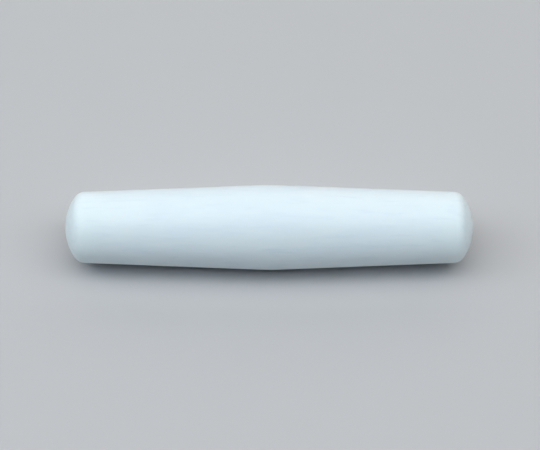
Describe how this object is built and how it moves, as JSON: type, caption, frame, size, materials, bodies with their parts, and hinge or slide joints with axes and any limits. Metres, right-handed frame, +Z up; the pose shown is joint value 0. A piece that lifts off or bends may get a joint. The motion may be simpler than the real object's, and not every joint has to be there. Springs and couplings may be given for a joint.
{
  "type": "magnetic stir bar",
  "caption": "White moulded rod with a thick belly at mid-length, straight tapers and domed ends, sealed around a rod magnet; it spins on its belly to stir a liquid.",
  "frame": {"origin": "the point of the belly that touches the vessel's floor, under the bar's mid-length", "axes": "+X along the bar, from pole to pole of the magnet: the bar's own axis of revolution runs along +X, 3.97 mm above the origin; +Z up from the vessel's floor, the line the bar turns about when it stirs"},
  "size_m": [0.0382, 0.008, 0.0079],
  "materials": {
    "white_ptfe": "satin",
    "magnet_alloy": "satin"
  },
  "bodies": {
    "root": {"ptfe_jacket": "white_ptfe", "rod_magnet": "magnet_alloy"}
  },
  "joints": []
}
